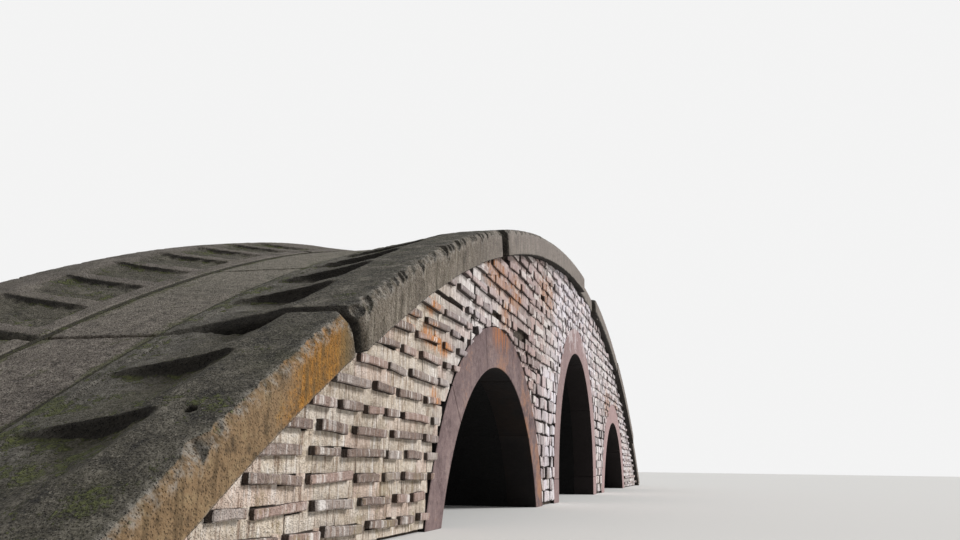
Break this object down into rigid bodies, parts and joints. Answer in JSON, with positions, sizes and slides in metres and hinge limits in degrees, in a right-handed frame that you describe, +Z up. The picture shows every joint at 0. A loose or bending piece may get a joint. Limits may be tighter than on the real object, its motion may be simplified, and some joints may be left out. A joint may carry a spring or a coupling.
{
  "type": "three-arch stone footbridge",
  "caption": "Hump-backed stone footbridge carried on round arches, with a sloping ramp down the middle between two flights of sunken steps and low kerbs.",
  "frame": {"origin": "centre of the footprint on the ground", "axes": "+X along the bridge from the end nearer the camera to the far end, +Y across it towards the hidden wall, +Z up"},
  "size_m": [14.1248, 2.0808, 2.15],
  "materials": {
    "deck_stone": "rough",
    "wall_stone": "rough",
    "ring_stone": "rough",
    "vault_stone": "rough",
    "hearting": "rough"
  },
  "bodies": {
    "root": {"core_far_abutment": "hearting", "core_far_pier": "hearting", "core_near_abutment": "hearting", "core_near_pier": "hearting", "ramp_crown": "deck_stone", "ramp_far": "deck_stone", "ramp_near": "deck_stone", "ring_left_far": "ring_stone", "ring_left_middle": "ring_stone", "ring_left_near": "ring_stone", "ring_right_far": "ring_stone", "ring_right_middle": "ring_stone", "ring_right_near": "ring_stone", "slab_left_crown": "deck_stone", "slab_left_far_crown": "deck_stone", "slab_left_far_end": "deck_stone", "slab_left_far_shoulder": "deck_stone", "slab_left_far_steps": "deck_stone", "slab_left_near_end": "deck_stone", "slab_left_near_shoulder": "deck_stone", "slab_left_near_steps": "deck_stone", "slab_right_crown": "deck_stone", "slab_right_far_crown": "deck_stone", "slab_right_far_end": "deck_stone", "slab_right_far_shoulder": "deck_stone", "slab_right_far_steps": "deck_stone", "slab_right_near_end": "deck_stone", "slab_right_near_shoulder": "deck_stone", "slab_right_near_steps": "deck_stone", "vault_far": "vault_stone", "vault_middle": "vault_stone", "vault_near": "vault_stone", "wall_left_far_abutment": "wall_stone", "wall_left_far_pier": "wall_stone", "wall_left_near_abutment": "wall_stone", "wall_left_near_pier": "wall_stone", "wall_right_far_abutment": "wall_stone", "wall_right_far_pier": "wall_stone", "wall_right_near_abutment": "wall_stone", "wall_right_near_pier": "wall_stone"}
  },
  "joints": []
}
